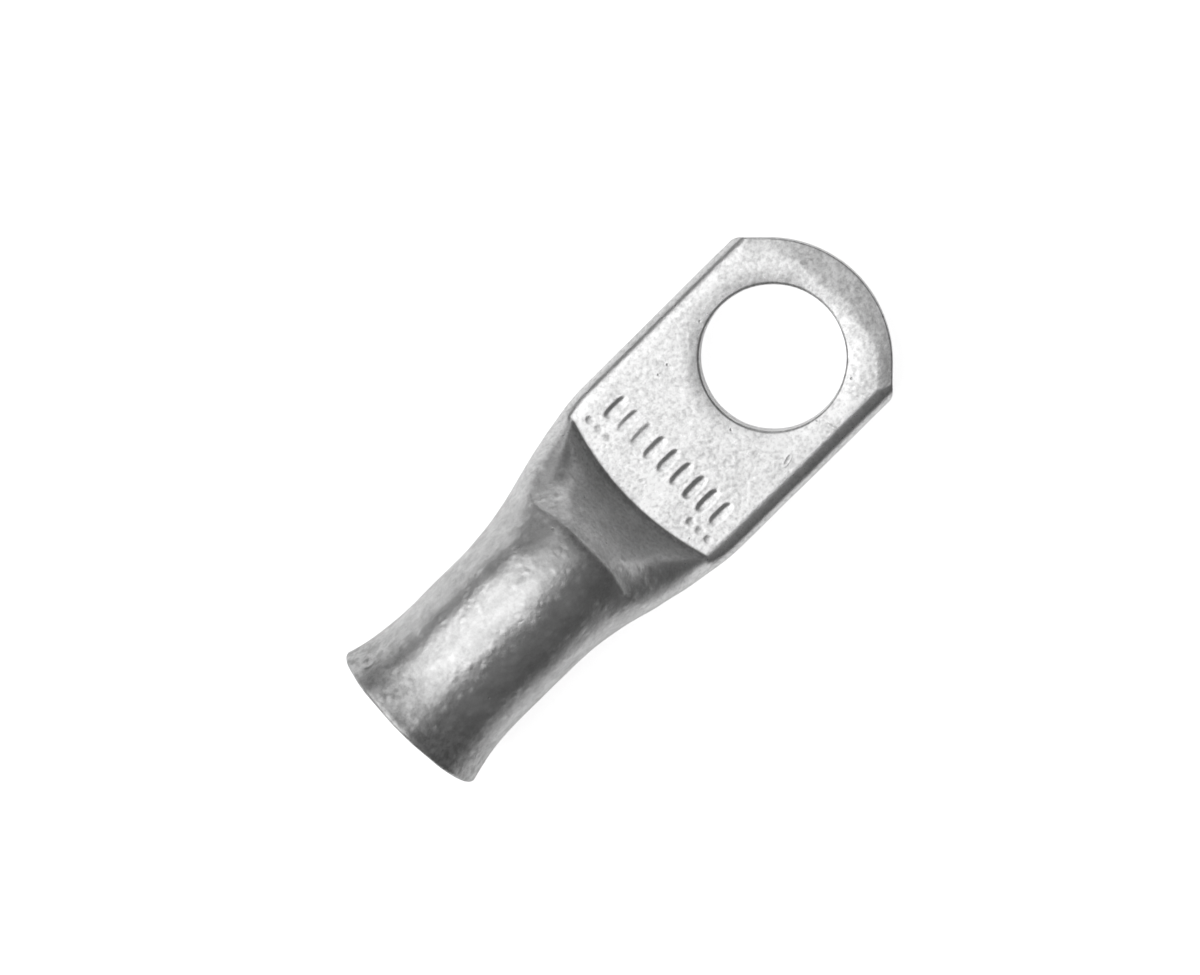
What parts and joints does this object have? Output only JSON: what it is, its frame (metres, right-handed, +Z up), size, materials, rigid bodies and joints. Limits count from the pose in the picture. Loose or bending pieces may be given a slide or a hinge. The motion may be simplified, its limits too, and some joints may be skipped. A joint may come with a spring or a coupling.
{
  "type": "cable lug",
  "caption": "Tubular cable lug: a bell-mouthed wire barrel of tinned copper tube, pressed flat into a palm with a hole for a stud.",
  "frame": {"origin": "centre of the stud hole on the palm's underside", "axes": "+X from the wire mouth to the palm's tip, +Z up out of the palm's top face"},
  "size_m": [0.036, 0.013, 0.0104],
  "materials": {
    "tinned_copper": "matt silver tin plate over copper, finely mottled, with soft broad reflections"
  },
  "bodies": {
    "root": {"lug": "tinned_copper"}
  },
  "joints": []
}
